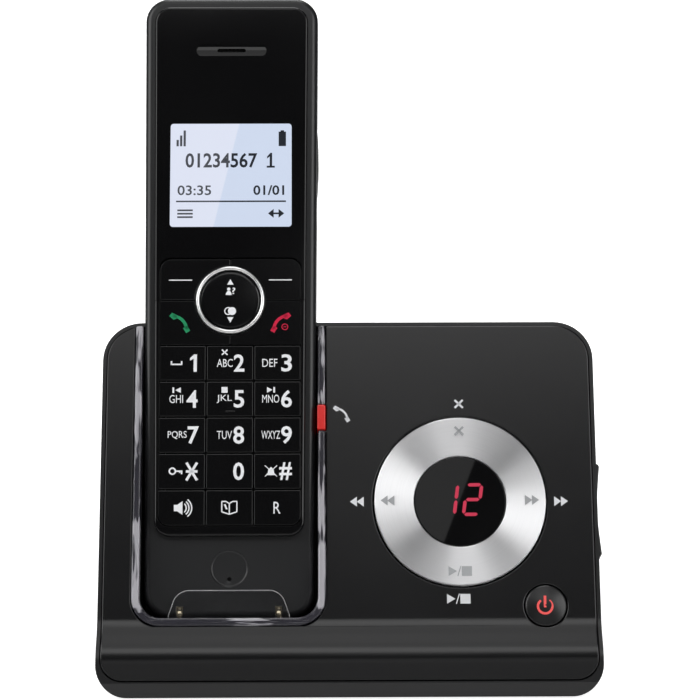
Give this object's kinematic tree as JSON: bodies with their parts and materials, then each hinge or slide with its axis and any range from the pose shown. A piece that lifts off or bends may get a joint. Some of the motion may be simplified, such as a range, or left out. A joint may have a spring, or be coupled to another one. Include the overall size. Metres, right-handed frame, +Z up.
{
  "type": "answering machine",
  "caption": "Desk base of a cordless telephone with built-in answering machine, round rocking dial and message display; its handset stands in the cradle.",
  "frame": {"origin": "on the table, below the middle of the whole object's box", "axes": "+X to the right as seen from the front, +Y to the back, +Z up"},
  "size_m": [0.1399, 0.1182, 0.1736],
  "materials": {
    "base_shell": "satin",
    "case_shell": "satin",
    "well": "satin",
    "rubber": "matte",
    "steel": "satin",
    "gold_contact": "polished",
    "clear_trim": "gloss",
    "red_light": "gloss",
    "dial_silver": "spun",
    "smoked_window": "gloss",
    "mechanism": "matte",
    "circuit_board": "satin",
    "socket": "matte",
    "button_black": "gloss",
    "handset_shell": "satin gloss",
    "lens_black": "high gloss",
    "display_glass": "gloss",
    "display_module": "satin",
    "chrome": "mirror",
    "key_black": "satin",
    "cell_sleeve": "satin"
  },
  "bodies": {
    "base": {"base_top_cover": "base_shell", "base_bottom_case": "case_shell", "rubber_feet": "rubber", "base_screws": "steel", "cradle_well": "well", "base_charge_contacts": "gold_contact", "cradle_trim": "clear_trim", "in_use_light": "red_light", "dial_window": "smoked_window", "message_display": "red_light", "dial_dome_mat": "rubber", "base_circuit_board": "circuit_board", "base_speaker": "mechanism", "line_socket": "socket", "power_socket": "socket"},
    "dial_carrier": {"dial_gimbal": "mechanism"},
    "dial": {"dial_ring": "dial_silver"},
    "power_button": {"power_button": "button_black"},
    "volume_rocker": {"volume_rocker": "button_black"},
    "handset": {"handset_front_housing": "handset_shell", "handset_back_housing": "handset_shell", "handset_screws": "steel", "front_lens": "lens_black", "keypad_bezel": "lens_black", "display_window": "display_glass", "display_module": "display_module", "earpiece_grille": "mechanism", "earpiece_receiver": "mechanism", "microphone": "mechanism", "nav_ring": "chrome", "dome_mat": "rubber", "handset_circuit_board": "circuit_board", "ringer_speaker": "mechanism", "battery_cells": "cell_sleeve", "belt_clip": "handset_shell", "handset_charge_contacts": "gold_contact"},
    "nav_key": {"nav_key": "key_black"},
    "battery_door": {"battery_door": "handset_shell"},
    "key_1": {"key_1": "key_black"},
    "key_2": {"key_2": "key_black"},
    "key_3": {"key_3": "key_black"},
    "key_4": {"key_4": "key_black"},
    "key_5": {"key_5": "key_black"},
    "key_6": {"key_6": "key_black"},
    "key_7": {"key_7": "key_black"},
    "key_8": {"key_8": "key_black"},
    "key_9": {"key_9": "key_black"},
    "key_star": {"key_star": "key_black"},
    "key_0": {"key_0": "key_black"},
    "key_hash": {"key_hash": "key_black"},
    "key_speaker": {"key_speaker": "key_black"},
    "key_phonebook": {"key_phonebook": "key_black"},
    "key_recall": {"key_recall": "key_black"},
    "talk_key": {"talk_key": "key_black"},
    "off_key": {"off_key": "key_black"},
    "soft_key_left": {"soft_key_left": "key_black"},
    "soft_key_right": {"soft_key_right": "key_black"}
  },
  "joints": [
    {"name": "handset_lift", "type": "slide", "parent": "base", "child": "handset", "axis": [0, 0.4924, 0.8704], "range_m": [0, 0.09]},
    {"name": "dial_tilt_up_down", "type": "hinge", "parent": "base", "child": "dial_carrier", "pos_m": [0.0309, -0.02711, 0.04444], "axis": [1, 0, 0], "range_deg": [-2, 2], "stiffness_Nm_per_rad": 0.5},
    {"name": "dial_tilt_left_right", "type": "hinge", "parent": "dial_carrier", "child": "dial", "pos_m": [0.0309, -0.02711, 0.04444], "axis": [0, 0.5592, 0.829], "range_deg": [-2, 2], "stiffness_Nm_per_rad": 0.5},
    {"name": "power_button_press", "type": "slide", "parent": "base", "child": "power_button", "axis": [0, 0.829, -0.5592], "range_m": [0, 0.0006], "stiffness_N_per_m": 300, "springref_m": -0.001},
    {"name": "volume_rocker_tilt", "type": "hinge", "parent": "base", "child": "volume_rocker", "pos_m": [0.0646, -0.02208, 0.0399], "axis": [0, -0.829, 0.5592], "range_deg": [-3, 3], "stiffness_Nm_per_rad": 0.3},
    {"name": "nav_key_tilt", "type": "hinge", "parent": "handset", "child": "nav_key", "pos_m": [-0.0332, 0.0004, 0.09542], "axis": [1, 0, 0], "range_deg": [-3, 3], "stiffness_Nm_per_rad": 0.1},
    {"name": "battery_door_slide", "type": "slide", "parent": "handset", "child": "battery_door", "axis": [0, -0.4924, -0.8704], "range_m": [0, 0.012]},
    {"name": "key_1_press", "type": "slide", "parent": "handset", "child": "key_1", "axis": [0, 0.8704, -0.4924], "range_m": [0, 0.0005], "stiffness_N_per_m": 300, "springref_m": -0.001},
    {"name": "key_2_press", "type": "slide", "parent": "handset", "child": "key_2", "axis": [0, 0.8704, -0.4924], "range_m": [0, 0.0005], "stiffness_N_per_m": 300, "springref_m": -0.001},
    {"name": "key_3_press", "type": "slide", "parent": "handset", "child": "key_3", "axis": [0, 0.8704, -0.4924], "range_m": [0, 0.0005], "stiffness_N_per_m": 300, "springref_m": -0.001},
    {"name": "key_4_press", "type": "slide", "parent": "handset", "child": "key_4", "axis": [0, 0.8704, -0.4924], "range_m": [0, 0.0005], "stiffness_N_per_m": 300, "springref_m": -0.001},
    {"name": "key_5_press", "type": "slide", "parent": "handset", "child": "key_5", "axis": [0, 0.8704, -0.4924], "range_m": [0, 0.0005], "stiffness_N_per_m": 300, "springref_m": -0.001},
    {"name": "key_6_press", "type": "slide", "parent": "handset", "child": "key_6", "axis": [0, 0.8704, -0.4924], "range_m": [0, 0.0005], "stiffness_N_per_m": 300, "springref_m": -0.001},
    {"name": "key_7_press", "type": "slide", "parent": "handset", "child": "key_7", "axis": [0, 0.8704, -0.4924], "range_m": [0, 0.0005], "stiffness_N_per_m": 300, "springref_m": -0.001},
    {"name": "key_8_press", "type": "slide", "parent": "handset", "child": "key_8", "axis": [0, 0.8704, -0.4924], "range_m": [0, 0.0005], "stiffness_N_per_m": 300, "springref_m": -0.001},
    {"name": "key_9_press", "type": "slide", "parent": "handset", "child": "key_9", "axis": [0, 0.8704, -0.4924], "range_m": [0, 0.0005], "stiffness_N_per_m": 300, "springref_m": -0.001},
    {"name": "key_star_press", "type": "slide", "parent": "handset", "child": "key_star", "axis": [0, 0.8704, -0.4924], "range_m": [0, 0.0005], "stiffness_N_per_m": 300, "springref_m": -0.001},
    {"name": "key_0_press", "type": "slide", "parent": "handset", "child": "key_0", "axis": [0, 0.8704, -0.4924], "range_m": [0, 0.0005], "stiffness_N_per_m": 300, "springref_m": -0.001},
    {"name": "key_hash_press", "type": "slide", "parent": "handset", "child": "key_hash", "axis": [0, 0.8704, -0.4924], "range_m": [0, 0.0005], "stiffness_N_per_m": 300, "springref_m": -0.001},
    {"name": "key_speaker_press", "type": "slide", "parent": "handset", "child": "key_speaker", "axis": [0, 0.8704, -0.4924], "range_m": [0, 0.0005], "stiffness_N_per_m": 300, "springref_m": -0.001},
    {"name": "key_phonebook_press", "type": "slide", "parent": "handset", "child": "key_phonebook", "axis": [0, 0.8704, -0.4924], "range_m": [0, 0.0005], "stiffness_N_per_m": 300, "springref_m": -0.001},
    {"name": "key_recall_press", "type": "slide", "parent": "handset", "child": "key_recall", "axis": [0, 0.8704, -0.4924], "range_m": [0, 0.0005], "stiffness_N_per_m": 300, "springref_m": -0.001},
    {"name": "talk_key_press", "type": "slide", "parent": "handset", "child": "talk_key", "axis": [0, 0.8704, -0.4924], "range_m": [0, 0.0005], "stiffness_N_per_m": 300, "springref_m": -0.001},
    {"name": "off_key_press", "type": "slide", "parent": "handset", "child": "off_key", "axis": [0, 0.8704, -0.4924], "range_m": [0, 0.0005], "stiffness_N_per_m": 300, "springref_m": -0.001},
    {"name": "soft_key_left_press", "type": "slide", "parent": "handset", "child": "soft_key_left", "axis": [0, 0.8704, -0.4924], "range_m": [0, 0.0005], "stiffness_N_per_m": 300, "springref_m": -0.001},
    {"name": "soft_key_right_press", "type": "slide", "parent": "handset", "child": "soft_key_right", "axis": [0, 0.8704, -0.4924], "range_m": [0, 0.0005], "stiffness_N_per_m": 300, "springref_m": -0.001}
  ]
}
